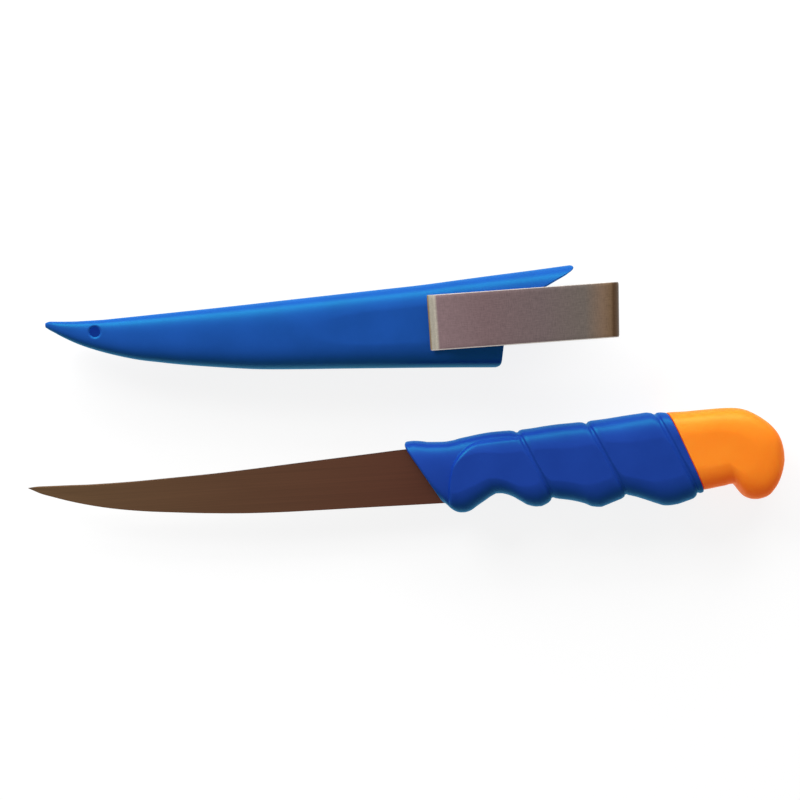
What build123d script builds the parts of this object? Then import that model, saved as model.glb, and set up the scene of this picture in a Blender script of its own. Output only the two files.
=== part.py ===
"""Fillet knife and its clip-on sheath, lying side by side as after drawing the knife.

All sizes are in millimetres. X runs along the knife from the blade's tip to the butt, Y towards the
blade's spine and Z up from the surface that both lie on. Everything is first drawn on one draw line,
the X axis, with the blade's tip at x = 0 and the knife seated in its sheath. The sheath is then laid
aside, and the origin is put at the middle of the footprint, on the surface.
"""

from build123d import *
from math import cos, radians, sin, tan
import os

# Blade and tang
blade_length = 153.9  # from the tip to where the edge enters the grip
blade_height = 21.2
spine_thickness = 2.0  # at the grip
tip_thickness = 0.8
shoulder_share = 0.4  # thickness where the bevel begins, of the spine's
edge_thickness = 0.12
bevel_width = 2.6
tip_bevel_share = 0.5  # most of the height that the bevel takes near the tip
heel_depth = 6.0  # how far the full blade reaches into the grip
tang_height = 13.0
tang_length = 46.0
tang_taper = 1.8  # each side, over its length
tang_corner = 3.0
tang_hole_radius = 2.6
tang_hole_setback = 9.0  # from the tang's end to its last hole
tang_hole_pitch = 20.0

# Grip
grip_length = 88.9  # on the draw line, from the edge's entry to the butt cap
palm_growth = 13.3  # how much deeper the palm is than the blade
grip_thickness = 23.0  # over the flats that it lies on
flat_depth = 0.3  # flats, taken off the crowned sides
nose_lean = 31.4  # degrees from square to the draw line
grip_wall = 2.4  # round the float chamber
chamber_front_wall = 6.0  # between the tang's end and the chamber
groove_count = 3
groove_width = 2.0
groove_depth = 0.9
groove_lean = 25.0
groove_pitch = 26.4
collar_width = 3.9  # from the last groove to the butt cap
ridge_gap = 0.5  # from the edge's entry to the foot of the ridge

# Butt cap
cap_length = 36.6  # on the draw line
joint_lean = 23.0
spigot_length = 8.0
spigot_wall = 1.8
spigot_fit = 0.12
cap_bore_depth = 12.0
core_fit = 0.4  # round the foam core

# Sheath
sheath_wall = 1.9
sheath_proud = 0.6  # each face, over the grip's
nose_fit = 0.55  # round the nose, in thickness
cavity_play = 11.0  # over the blade's height
seat_depth = 14.5  # from the blade's tip to the sheath's
mouth_fit = 0.4  # between the mouth and the grip's ridge
mouth_lean = 10.0  # degrees, below the blade's edge
tongue_setback = 4.8  # from the first groove, on the draw line
tongue_radius = 1.0
drain_radius = 1.85
drain_offset = 3.6  # past the blade's tip
drain_rise = 0.6  # above the draw line

# Belt clip
clip_width = 20.0
clip_thickness = 0.9
clip_length = 68.8  # from the lip to the outside of the bend
clip_reach = 41.9  # how far the bend stands past the edge's entry
clip_drop = 4.4  # middle of the strip, below the draw line
clip_cant = 0.6  # degrees, as fitted
belt_gap = 4.6
lip_length = 2.4
lip_radius = 2.0
lip_angle = 42.0
bend_split = 0.05  # between the two leaves at the bend
rivet_setback = 9.0  # from the lip
rivet_spread = 11.0
rivet_radius = 1.5
rivet_fit = 0.06
rivet_head_radius = 2.8
rivet_head_height = 0.8
rivet_tail_radius = 2.6
rivet_tail_height = 0.6

# Where the sheath is laid, measured from its seat on the knife
laid_along = 24.9
laid_across = 55.9

# Cross-sections and cuts
fullness_share = 0.84  # how square the soft corners are, where 0.55 is an ellipse
least_cavity_share = 1.3  # a hollow starts where the body is this much deeper than its two walls
overrun = 60.0  # how far cuts run past what they cut

# Sizes that follow from those above
grip_height = blade_height + palm_growth
joint_x = blade_length + grip_length
butt_x = joint_x + cap_length
grip_half = grip_thickness / 2
sheath_half = grip_half + sheath_proud
sheath_height = blade_height + 2 * sheath_wall + cavity_play
ridge_step = sheath_wall + nose_fit - sheath_proud
first_groove_x = joint_x - collar_width - (groove_count - 1) * groove_pitch
tongue_x = first_groove_x - tongue_setback
tang_start_x = blade_length
tang_end_x = blade_length + heel_depth + tang_length
chamber_x = tang_end_x + chamber_front_wall
bore_inset = grip_wall + spigot_fit + spigot_wall
bend_radius = belt_gap / 2 + clip_thickness

# Blade stations: along the blade, then spine and edge, all as shares
blade_shares = [
    (0.000, 0.008, -0.020),
    (0.017, 0.012, -0.073),
    (0.052, 0.007, -0.178),
    (0.100, 0.000, -0.287),
    (0.170, -0.010, -0.413),
    (0.290, 0.005, -0.549),
    (0.433, 0.045, -0.642),
    (0.578, 0.106, -0.693),
    (0.780, 0.207, -0.708),
    (1.000, 0.288, -0.714),
]

# Grip stations, evenly spaced from before the edge's entry to past the joint: top and underside
grip_front_share = -0.2
grip_back_share = 1.15
grip_shares = [
    (0.249, -0.357),
    (0.257, -0.377),
    (0.239, -0.406),
    (0.225, -0.435),
    (0.225, -0.504),
    (0.248, -0.549),
    (0.271, -0.478),
    (0.289, -0.387),
    (0.294, -0.380),
    (0.291, -0.459),
    (0.300, -0.530),
    (0.318, -0.509),
    (0.329, -0.470),
    (0.335, -0.499),
    (0.341, -0.549),
    (0.351, -0.578),
    (0.362, -0.530),
    (0.378, -0.475),
    (0.391, -0.520),
    (0.400, -0.578),
    (0.394, -0.609),
    (0.388, -0.581),
    (0.390, -0.522),
    (0.391, -0.464),
    (0.391, -0.449),
]

# Butt cap stations: along the cap from its joint, its top, its underside and its thickness
cap_shares = [
    (-0.200, 0.388, -0.487, 1.00),
    (-0.100, 0.387, -0.481, 1.00),
    (0.000, 0.387, -0.475, 1.00),
    (0.100, 0.389, -0.470, 1.00),
    (0.200, 0.393, -0.459, 1.00),
    (0.300, 0.396, -0.443, 1.00),
    (0.400, 0.399, -0.428, 1.00),
    (0.500, 0.396, -0.464, 1.00),
    (0.595, 0.377, -0.580, 0.99),
    (0.685, 0.334, -0.599, 0.98),
    (0.765, 0.281, -0.587, 0.96),
    (0.835, 0.225, -0.538, 0.92),
    (0.893, 0.165, -0.465, 0.85),
    (0.939, 0.093, -0.387, 0.75),
    (0.972, 0.000, -0.301, 0.58),
    (0.992, -0.087, -0.238, 0.40),
    (1.000, -0.142, -0.191, 0.20),
]

# Sheath stations: along the sheath from its tip, its top, its underside and its thickness
sheath_shares = [
    (0.000, 0.132, 0.069, 0.26),
    (0.023, 0.132, -0.010, 0.41),
    (0.054, 0.124, -0.101, 0.49),
    (0.105, 0.120, -0.213, 0.56),
    (0.176, 0.138, -0.319, 0.65),
    (0.278, 0.160, -0.410, 0.76),
    (0.391, 0.190, -0.475, 0.88),
    (0.513, 0.224, -0.521, 0.98),
    (0.636, 0.257, -0.553, 1.00),
    (0.748, 0.292, -0.583, 1.00),
    (0.840, 0.328, -0.611, 1.00),
    (0.932, 0.363, -0.633, 1.00),
    (1.029, 0.400, -0.650, 1.00),
]

# The ridge round the grip's nose, along the grip and up it: its middle and its top
ridge_middle_shares = (0.044, -0.02)
ridge_top_shares = (0.175, 0.197)
shoulder_end_share = 0.243  # height of the shoulder at the first groove
tongue_end_share = 0.352  # height of the tongue's underside at its end

edge_y = blade_shares[-1][2] * blade_height
spine_y = blade_shares[-1][1] * blade_height
tang_y = (spine_y + edge_y) / 2 + tang_corner / 2
nose_slope = tan(radians(nose_lean))
groove_slope = tan(radians(groove_lean))
joint_slope = tan(radians(joint_lean))


def grip_rows():
    """Give the grip's stations as real sizes: x, underside, top and thickness share."""
    front_x = blade_length + grip_front_share * grip_length
    pitch = (grip_back_share - grip_front_share) * grip_length / (len(grip_shares) - 1)
    return [
        (front_x + count * pitch, low * grip_height, high * grip_height, 1)
        for count, (high, low) in enumerate(grip_shares)
    ]


def cap_rows():
    """Give the butt cap's stations as real sizes."""
    return [
        (joint_x + along * cap_length, low * grip_height, high * grip_height, thick)
        for along, high, low, thick in cap_shares
    ]


def sheath_rows():
    """Give the sheath's stations as real sizes."""
    sheath_length = seat_depth + tongue_x
    return [
        (along * sheath_length - seat_depth, low * sheath_height, high * sheath_height, thick)
        for along, high, low, thick in sheath_shares
    ]


def soft_body(rows, half_thickness, inset=0, side_inset=0):
    """Loft a soft-cornered body through the stations, drawn in by the inset on every side."""
    with BuildPart() as body:
        for x, low, high, thick in rows:
            if high - low > 2 * inset * least_cavity_share:
                middle = (low + high) / 2
                half_height = (high - low) / 2 - inset
                half = half_thickness * thick - inset - side_inset
                with BuildSketch(Plane.YZ.offset(x)):
                    with BuildLine():
                        for side, face in ((1, 1), (-1, 1), (-1, -1), (1, -1)):
                            edge = (middle + side * half_height, 0)
                            edge_pull = (edge[0], face * half * fullness_share)
                            crown_pull = (middle + side * half_height * fullness_share, face * half)
                            crown = (middle, face * half)
                            Bezier(edge, edge_pull, crown_pull, crown)
                    make_face()
        loft()
    return body.part


def lean_band(first_x, last_x, slope=0, half_thickness=overrun):
    """Make a block between two leaning planes, given where they cross the draw line."""
    reach = overrun * slope
    with BuildPart() as band:
        with BuildSketch():
            Polygon(
                (first_x + reach, -overrun),
                (last_x + reach, -overrun),
                (last_x - reach, overrun),
                (first_x - reach, overrun),
                align=None,
            )
        extrude(amount=half_thickness, both=True)
    return band.part


# Blade, ground flat from the spine to the bevel, with a flat tang
with BuildPart() as blade:
    for along, high, low in blade_shares + [(1 + heel_depth / blade_length, *blade_shares[-1][1:])]:
        top = high * blade_height
        edge = low * blade_height
        half_spine = (tip_thickness + (spine_thickness - tip_thickness) * min(along, 1)) / 2
        half_shoulder = half_spine * shoulder_share
        bevel = min(bevel_width, (top - edge) * tip_bevel_share)
        with BuildSketch(Plane.YZ.offset(along * blade_length)):
            Polygon(
                (top, half_spine),
                (edge + bevel, half_shoulder),
                (edge, edge_thickness / 2),
                (edge, -edge_thickness / 2),
                (edge + bevel, -half_shoulder),
                (top, -half_spine),
                align=None,
            )
    loft()
    with BuildSketch():
        Polygon(
            (tang_start_x, tang_y - tang_height / 2),
            (tang_end_x, tang_y - tang_height / 2 + tang_taper),
            (tang_end_x, tang_y + tang_height / 2 - tang_taper),
            (tang_start_x, tang_y + tang_height / 2),
            align=None,
        )
    extrude(amount=spine_thickness / 2, both=True)
    tang_end_edges = blade.edges().filter_by(Axis.Z).group_by(Axis.X)[-1]
    fillet(tang_end_edges, radius=tang_corner)
    last_hole_x = tang_end_x - tang_hole_setback
    with Locations((last_hole_x, tang_y), (last_hole_x - tang_hole_pitch, tang_y)):
        Hole(tang_hole_radius)

# What the nose is narrower than the palm: everything before the ridge, thinner by the ridge's step
ridge_foot_x = blade_length + ridge_gap
ridge_middle = (
    blade_length + ridge_middle_shares[0] * grip_length,
    ridge_middle_shares[1] * grip_height,
)
ridge_top = (
    blade_length + ridge_top_shares[0] * grip_length,
    ridge_top_shares[1] * grip_height,
)
shoulder_end_y = shoulder_end_share * grip_height
shoulder_end = (first_groove_x - shoulder_end_y * groove_slope, shoulder_end_y)

nose_core = soft_body(grip_rows(), grip_half + flat_depth, side_inset=ridge_step)
with BuildPart() as nose_cut:
    with BuildSketch():
        with BuildLine():
            foot = Line((ridge_foot_x, -overrun), (ridge_foot_x, edge_y))
            ridge = ThreePointArc(foot @ 1, ridge_middle, ridge_top)
            shoulder = Line(ridge @ 1, shoulder_end)
            stop = Line(shoulder @ 1, (first_groove_x - overrun * groove_slope, overrun))
            Polyline(stop @ 1, (0, overrun), (0, -overrun), foot @ 0)
        make_face()
    extrude(amount=overrun, both=True)
    add(nose_core, mode=Mode.SUBTRACT)

# The leaning grooves: slabs round a core that is smaller by the groove's depth
groove_core = soft_body(grip_rows(), grip_half + flat_depth, inset=groove_depth)
groove_places = [first_groove_x + count * groove_pitch for count in range(groove_count)]
groove_slabs = [
    lean_band(place - groove_width / 2, place + groove_width / 2, groove_slope)
    for place in groove_places
]
with BuildPart() as groove_cut:
    add(groove_slabs)
    add(groove_core, mode=Mode.SUBTRACT)

# Grip, moulded round the tang, with a hollow behind it
palm = soft_body(grip_rows(), grip_half + flat_depth)
hollow = soft_body(grip_rows(), grip_half + flat_depth, inset=grip_wall)
behind_tang = lean_band(chamber_x, butt_x)
before_joint = lean_band(-butt_x, joint_x, joint_slope, grip_half)
behind_nose_front = lean_band(blade_length + edge_y * nose_slope, 2 * butt_x, nose_slope)

with BuildPart() as chamber:
    add(hollow)
    add(behind_tang, mode=Mode.INTERSECT)

with BuildPart() as grip:
    add(palm)
    add(before_joint, mode=Mode.INTERSECT)
    add(behind_nose_front, mode=Mode.INTERSECT)
    add(nose_cut.part, mode=Mode.SUBTRACT)
    add(groove_cut.part, mode=Mode.SUBTRACT)
    add(chamber.part, mode=Mode.SUBTRACT)
    add(blade.part, mode=Mode.SUBTRACT)

# Foam core that fills the hollow
core_form = soft_body(grip_rows(), grip_half + flat_depth, inset=grip_wall + core_fit)
core_front = lean_band(chamber_x + core_fit, butt_x)
core_back = lean_band(-butt_x, joint_x - spigot_length - core_fit, joint_slope)
with BuildPart() as float_core:
    add(core_form)
    add(core_front, mode=Mode.INTERSECT)
    add(core_back, mode=Mode.INTERSECT)

# Butt cap, hooked for the last finger, with a spigot that plugs the hollow
spigot_form = soft_body(grip_rows(), grip_half + flat_depth, inset=grip_wall + spigot_fit)
spigot_bore = soft_body(grip_rows(), grip_half + flat_depth, inset=bore_inset)
spigot_band = lean_band(joint_x - spigot_length, joint_x, joint_slope)
with BuildPart() as spigot:
    add(spigot_form)
    add(spigot_bore, mode=Mode.SUBTRACT)
    add(spigot_band, mode=Mode.INTERSECT)

cap_hollow = soft_body(cap_rows(), grip_half + flat_depth, inset=bore_inset)
cap_bore_band = lean_band(joint_x, joint_x + cap_bore_depth, joint_slope)
with BuildPart() as cap_bore:
    add(cap_hollow)
    add(cap_bore_band, mode=Mode.INTERSECT)

cap_form = soft_body(cap_rows(), grip_half + flat_depth)
behind_joint = lean_band(joint_x, 2 * butt_x, joint_slope, grip_half)
with BuildPart() as butt_cap:
    add(cap_form)
    add(behind_joint, mode=Mode.INTERSECT)
    add(cap_bore.part, mode=Mode.SUBTRACT)
    add(spigot.part)

# Sheath, whole: a hollow body, cut at the mouth so that it meets the grip's ridge
sheath_form = soft_body(sheath_rows(), sheath_half + flat_depth)
cavity_form = soft_body(sheath_rows(), sheath_half + flat_depth, inset=sheath_wall)
mouth_x = ridge_foot_x - mouth_fit
mouth_reach = (overrun + edge_y) * tan(radians(mouth_lean))
with BuildPart() as sheath:
    add(sheath_form)
    with BuildSketch():
        with BuildLine():
            foot = Line((mouth_x - mouth_reach, -overrun), (mouth_x, edge_y))
            arc = ThreePointArc(
                foot @ 1,
                (ridge_middle[0] - mouth_fit, ridge_middle[1]),
                (ridge_top[0] - mouth_fit, ridge_top[1]),
            )
            tongue = Line(arc @ 1, (tongue_x - tongue_radius, tongue_end_share * grip_height))
            tip = TangentArc(
                tongue @ 1,
                (tongue_x, tongue_end_share * grip_height + 2 * tongue_radius),
                tangent=tongue % 1,
            )
            Polyline(
                tip @ 1,
                (tongue_x, overrun),
                (-seat_depth - overrun, overrun),
                (-seat_depth - overrun, -overrun),
                foot @ 0,
            )
        make_face()
    extrude(amount=sheath_half, both=True, mode=Mode.INTERSECT)
    add(cavity_form, mode=Mode.SUBTRACT)

# Belt clip, drawn from its side: x along the strip from the bend's middle, y away from the sheath
cant = radians(clip_cant)
bend_x = blade_length + clip_reach - bend_radius
clip_side = Plane(
    origin=(bend_x, -clip_drop, sheath_half),
    x_dir=(cos(cant), sin(cant), 0),
    z_dir=(sin(cant), -cos(cant), 0),
)
leaf_end = clip_length - bend_radius
lip_rise = lip_radius * (1 - cos(radians(lip_angle)))
rivet_x = leaf_end - rivet_setback
rivet_places = [(-rivet_x, -rivet_spread / 2), (-rivet_x, rivet_spread / 2)]
clip_face = Plane(origin=clip_side.origin, x_dir=clip_side.x_dir, z_dir=(0, 0, 1))

with BuildPart() as clip_base:
    with BuildSketch(clip_side):
        with BuildLine():
            run = Line((-leaf_end, 0), (0, 0))
            JernArc(run @ 1, tangent=(1, 0), radius=bend_radius, arc_size=90)
            offset(amount=clip_thickness, side=Side.LEFT)
        make_face()
    extrude(amount=clip_width / 2, both=True)
    with Locations(clip_face):
        with Locations(*rivet_places):
            Hole(rivet_radius + rivet_fit)

with BuildPart() as clip_leaf:
    with BuildSketch(clip_side):
        with BuildLine():
            bend = JernArc(
                (bend_radius, bend_radius + bend_split), tangent=(0, 1), radius=bend_radius, arc_size=90
            )
            run_length = leaf_end - lip_length - lip_radius * sin(radians(lip_angle))
            run = Line(bend @ 1, (-run_length, 2 * bend_radius + bend_split))
            curl = JernArc(run @ 1, tangent=(-1, 0), radius=lip_radius, arc_size=-lip_angle)
            Line(curl @ 1, curl @ 1 + (curl % 1) * lip_length)
            offset(amount=clip_thickness, side=Side.LEFT)
        make_face()
    extrude(amount=clip_width / 2, both=True)

# Two rivets through the inner leaf and the sheath's wall
wall_inside = sheath_wall - flat_depth
with BuildPart() as clip_rivets:
    with BuildSketch(clip_face.offset(-wall_inside - rivet_tail_height)):
        with Locations(*rivet_places):
            Circle(rivet_tail_radius)
    extrude(amount=rivet_tail_height)
    with BuildSketch(clip_face.offset(-wall_inside)):
        with Locations(*rivet_places):
            Circle(rivet_radius)
    extrude(amount=wall_inside + clip_thickness)
    with BuildSketch(clip_face.offset(clip_thickness)):
        with Locations(*rivet_places):
            Circle(rivet_head_radius)
    extrude(amount=rivet_head_height)
    head_rims = clip_rivets.faces().group_by(Axis.Z)[-1].edges()
    fillet(head_rims, radius=rivet_head_height / 2)

with BuildPart() as rivet_seats:
    with BuildSketch(clip_face.offset(-sheath_half)):
        with Locations(*rivet_places):
            Circle(rivet_tail_radius + rivet_fit)
    extrude(amount=sheath_half - wall_inside)
    with BuildSketch(clip_face.offset(-sheath_half)):
        with Locations(*rivet_places):
            Circle(rivet_radius + rivet_fit)
    extrude(amount=2 * sheath_half)

# The sheath's two halves, which meet on the blade's plane
with BuildPart() as sheath_back_shell:
    add(sheath.part)
    split(bisect_by=Plane.XY, keep=Keep.BOTTOM)

with BuildPart() as sheath_front_shell:
    add(sheath_back_shell.part)
    mirror(about=Plane.XY, mode=Mode.REPLACE)
    add(rivet_seats.part, mode=Mode.SUBTRACT)
    with BuildSketch():
        with Locations((drain_offset, drain_rise)):
            Circle(drain_radius)
    extrude(amount=overrun, mode=Mode.SUBTRACT)

# Lay the knife and the sheath on the surface, and put the origin at the middle of their footprint
knife_pieces = {"blade": blade, "grip": grip, "float_core": float_core, "butt_cap": butt_cap}
sheath_pieces = {
    "sheath_front_shell": sheath_front_shell,
    "sheath_back_shell": sheath_back_shell,
    "clip_base": clip_base,
    "clip_leaf": clip_leaf,
    "clip_rivets": clip_rivets,
}
lowest = min(grip.part.bounding_box().min.Y, butt_cap.part.bounding_box().min.Y)
highest = sheath_front_shell.part.bounding_box().max.Y + laid_across
middle_x = butt_x / 2
middle_y = (lowest + highest) / 2
knife_place = Pos(-middle_x, -middle_y, grip_half)
sheath_place = Pos(laid_along - middle_x, laid_across - middle_y, sheath_half)

os.makedirs("parts", exist_ok=True)
for pieces, place in ((knife_pieces, knife_place), (sheath_pieces, sheath_place)):
    for name, piece in pieces.items():
        piece.part = place * piece.part
        piece.part.label = name
        export_step(piece.part, f"parts/{name}.step")
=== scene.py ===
# %% [markdown]
# # Fillet knife beside its sheath
# The real object is a slim fish knife and the hollow sheath that it was drawn from. The blade is
# ground steel, the grip and the sheath are moulded blue plastic, the grip ends in an orange hook, and
# a folded steel strip on the sheath hangs it on a belt. The imported CAD model comes in first, because
# every piece below keeps its sizes, and all but the belt clip ride on its bodies.

from math import cos, pi, radians, sin, sqrt

import bmesh
import bpy
import numpy as np
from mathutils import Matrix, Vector


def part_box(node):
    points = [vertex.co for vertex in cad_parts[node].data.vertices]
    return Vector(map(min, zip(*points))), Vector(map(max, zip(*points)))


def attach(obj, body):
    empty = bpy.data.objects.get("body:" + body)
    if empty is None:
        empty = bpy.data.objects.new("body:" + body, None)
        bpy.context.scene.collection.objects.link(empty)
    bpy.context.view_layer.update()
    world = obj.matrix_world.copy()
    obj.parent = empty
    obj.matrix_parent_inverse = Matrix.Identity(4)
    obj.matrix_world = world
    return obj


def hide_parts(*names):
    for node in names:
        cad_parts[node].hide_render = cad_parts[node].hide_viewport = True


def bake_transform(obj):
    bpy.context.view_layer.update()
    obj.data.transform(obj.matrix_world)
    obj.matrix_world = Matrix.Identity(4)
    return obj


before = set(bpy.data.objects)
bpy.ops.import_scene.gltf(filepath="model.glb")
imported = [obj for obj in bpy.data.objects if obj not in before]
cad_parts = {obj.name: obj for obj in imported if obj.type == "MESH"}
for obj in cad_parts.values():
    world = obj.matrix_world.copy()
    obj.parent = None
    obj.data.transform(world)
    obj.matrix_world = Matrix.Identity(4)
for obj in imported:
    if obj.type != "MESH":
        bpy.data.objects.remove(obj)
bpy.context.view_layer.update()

# %% [markdown]
# ## One draw line for everything
# Knife and sheath were drawn on one line, with the blade's tip at zero and x running to the butt. Here
# both lie side by side, so each has its own shift from that line into the frame. Outlines stay in
# millimetres on the draw line, as a maker would measure them, and are turned into metres at the end.
# Grip and sheath rest on small flats: their sections are drawn higher by the crown and cut off level.

# %% Shifts from the draw line into the frame, in millimetres
tip_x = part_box("blade")[0].x * 1000
draw_y = -24.398
grip_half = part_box("grip")[1].z * 500
sheath_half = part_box("sheath_front_shell")[1].z * 500
knife_shift = np.array([tip_x, draw_y, grip_half])
sheath_shift = np.array([tip_x + 24.9, draw_y + 55.9, sheath_half])
crown = 0.3
print("knife shift", knife_shift.round(2), "sheath shift", sheath_shift.round(2))


# %% [markdown]
# ## Smooth outlines from a few points
# A moulded outline is smooth but has humps for the fingers. A cubic through given points that
# never overshoots keeps each hump where it was measured, which a plain spline would not.

# %% Outline through points
def outline(points):
    """Return a smooth function through the points that adds no humps of its own."""
    xs, ys = np.array(points, float).T
    steps = np.diff(xs)
    slopes = np.diff(ys) / steps
    tangents = np.zeros(len(xs))
    tangents[0], tangents[-1] = slopes[0], slopes[-1]
    for i in range(1, len(xs) - 1):
        if slopes[i - 1] * slopes[i] > 0:
            a = 2 * steps[i] + steps[i - 1]
            b = steps[i] + 2 * steps[i - 1]
            tangents[i] = (a + b) / (a / slopes[i - 1] + b / slopes[i])

    def at(x):
        x = np.asarray(x, float)
        i = np.clip(np.searchsorted(xs, x) - 1, 0, len(xs) - 2)
        h = steps[i]
        t = (x - xs[i]) / h
        inside = (
            ys[i] * (1 + 2 * t) * (1 - t) ** 2
            + ys[i + 1] * t * t * (3 - 2 * t)
            + h * tangents[i] * t * (1 - t) ** 2
            - h * tangents[i + 1] * t * t * (1 - t)
        )
        before = ys[0] + (x - xs[0]) * tangents[0]
        after = ys[-1] + (x - xs[-1]) * tangents[-1]
        return np.where(t < 0, before, np.where(t > 1, after, inside))

    return at


def ease(value, low, high):
    """Go smoothly from 0 at low to 1 at high."""
    t = np.clip((np.asarray(value, float) - low) / (high - low), 0, 1)
    return t * t * (3 - 2 * t)


print("ease at a quarter", float(ease(0.25, 0, 1)))


# %% [markdown]
# ## A soft cross-section
# Grip, cap and sheath share one kind of section: a rounded bar, flatter than an ellipse and softer
# than a box. It is one cubic curve per quarter, the same that the CAD lofts, so both agree.

# %% Half a section, from the underside over the front to the top
def half_section(count, seam_steps=()):
    """Give points of a unit half section as place across and place out of the middle plane."""
    full = 0.84  # how far each curve's handles pull it towards a square corner
    t = np.linspace(0, 1, count + 1)
    if seam_steps:
        t = np.unique(np.concatenate([t, seam_steps]))
    across = (1 - t) ** 3 + 3 * (1 - t) ** 2 * t + 3 * (1 - t) * t * t * full
    out = 3 * (1 - t) ** 2 * t * full + 3 * (1 - t) * t * t + t**3
    return np.concatenate([-across[:-1], across[::-1]]), np.concatenate([out[:-1], out[::-1]])


def full_section(count):
    """Mirror the half section into a whole ring."""
    across, out = half_section(count)
    return np.concatenate([across, across[-2:0:-1]]), np.concatenate([out, -out[-2:0:-1]])


print("points in a ring", len(full_section(40)[0]))


# %% [markdown]
# ## From rings to a mesh
# Every hollow or solid form here is a run of rings. Joining rings to rings gives clean four-sided
# faces that follow the form, which shade better than the triangles of a cut solid.

# %% Mesh from rings
def piece_from(name, points, faces, body, sharp):
    """Make a piece of points in metres, smooth below the sharp angle, that rides on a named body."""
    mesh = bpy.data.meshes.new(name)
    mesh.from_pydata([tuple(p) for p in points], [], [tuple(int(i) for i in f) for f in faces])
    mesh.validate()
    turning = bmesh.new()
    turning.from_mesh(mesh)
    bmesh.ops.recalc_face_normals(turning, faces=turning.faces)
    turning.to_mesh(mesh)
    turning.free()
    mesh.shade_smooth()
    mesh.set_sharp_from_angle(angle=radians(sharp))
    piece = bpy.data.objects.new(name, mesh)
    bpy.context.scene.collection.objects.link(piece)
    if body:
        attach(piece, body)
    print(name, len(mesh.vertices), "points")
    return piece


def join_rings(rings, closed=True):
    """Join equal rings into four-sided faces; a closed ring also joins its last point to its first."""
    count = len(rings[0])
    points = np.concatenate(rings)
    faces = []
    for r in range(len(rings) - 1):
        for k in range(count if closed else count - 1):
            n = (k + 1) % count
            faces.append((r * count + k, r * count + n, (r + 1) * count + n, (r + 1) * count + k))
    return points, faces


def close_ends(faces, count, rows):
    """Close a run of rings with one flat face at each end."""
    faces.append(tuple(range(count))[::-1])
    faces.append(tuple((rows - 1) * count + k for k in range(count)))


def shrink_to_middle(ring, steps=4):
    """Give smaller and smaller copies of a ring, to close an end with even faces."""
    middle = ring.mean(0)
    return [middle + (ring - middle) * (1 - (i + 1) / (steps + 0.02)) for i in range(steps)]


# %% [markdown]
# ## The blade
# A fillet blade is ground thin from spine to edge, with a narrow bevel that makes the cutting edge.
# Sections between a measured spine line and a measured edge line give the long upswept point. The
# bevel's upper line stays a crisp crease, as grinding leaves it.

# %% Blade mesh
spine_at = outline([
    (0, -0.1), (3.8, 0.18), (8.2, 0.1), (15.6, -0.03), (23, -0.22), (30.5, -0.2), (37.9, -0.1),
    (52.7, 0.4), (67.6, 0.98), (82.5, 1.85), (97.4, 2.87), (112.3, 3.86), (127.1, 4.82),
    (138.3, 5.56), (153.9, 6.1), (165, 6.3),
])
edge_at = outline([
    (0, -0.3), (1.5, -1.05), (4.7, -2.63), (8, -3.76), (15.3, -6.07), (22.6, -7.98), (29.9, -9.52),
    (37.2, -10.7), (44.6, -11.64), (52, -12.36), (66.7, -13.61), (81.5, -14.48), (96.3, -14.86),
    (125.9, -15.01), (153.9, -15.13), (165, -15.13),
])
tip_thick, heel_thick, heel_at = 0.8, 2.0, 153.9
bevel_width, bevel_thick_share = 2.6, 0.26


def blade_rings():
    """Give the blade's sections from the tip to inside the grip."""
    rings = []
    for x in np.concatenate([np.linspace(0, 1, 6) ** 2 * 3, np.linspace(3.6, 159.5, 210)]):
        top, low = float(spine_at(x)), float(edge_at(x))
        half = (tip_thick + (heel_thick - tip_thick) * min(x / heel_at, 1)) / 2
        bevel = min(bevel_width, (top - low) * 0.5)
        shoulder = low + bevel
        radius = min(0.35, (top - low) * 0.2)
        side = [(top - radius * 0.3, half - 0.28), (top - radius, half - 0.02)]
        for share in np.linspace(0, 1, 9)[1:]:
            y = (top - radius) + (shoulder - top + radius) * share
            side.append((y, half - 0.02 + (half * bevel_thick_share - half + 0.02) * share))
        side.append((low + bevel * 0.5, half * bevel_thick_share * 0.5 + 0.03))
        side.append((low, 0.05))
        ring = [(x, top, 0)] + [(x, y, z) for y, z in side] + [(x, y, -z) for y, z in side[::-1]]
        rings.append((np.array(ring) + knife_shift) / 1000)
    return rings


rings = blade_rings()
points, faces = join_rings(rings)
close_ends(faces, len(rings[0]), len(rings))
blade = piece_from("ground_blade", points, faces, "knife", sharp=4)
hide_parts("blade")


# %% [markdown]
# ## The grip
# The grip is moulded round the blade's tang: a thin nose that slides into the sheath, a raised palm
# whose front edge is a curved ridge, and three slanting grooves. Its sections lean with the grooves, so
# that the rings run along every groove and the joint. Grooves and ridge are then only a change of size.

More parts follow.
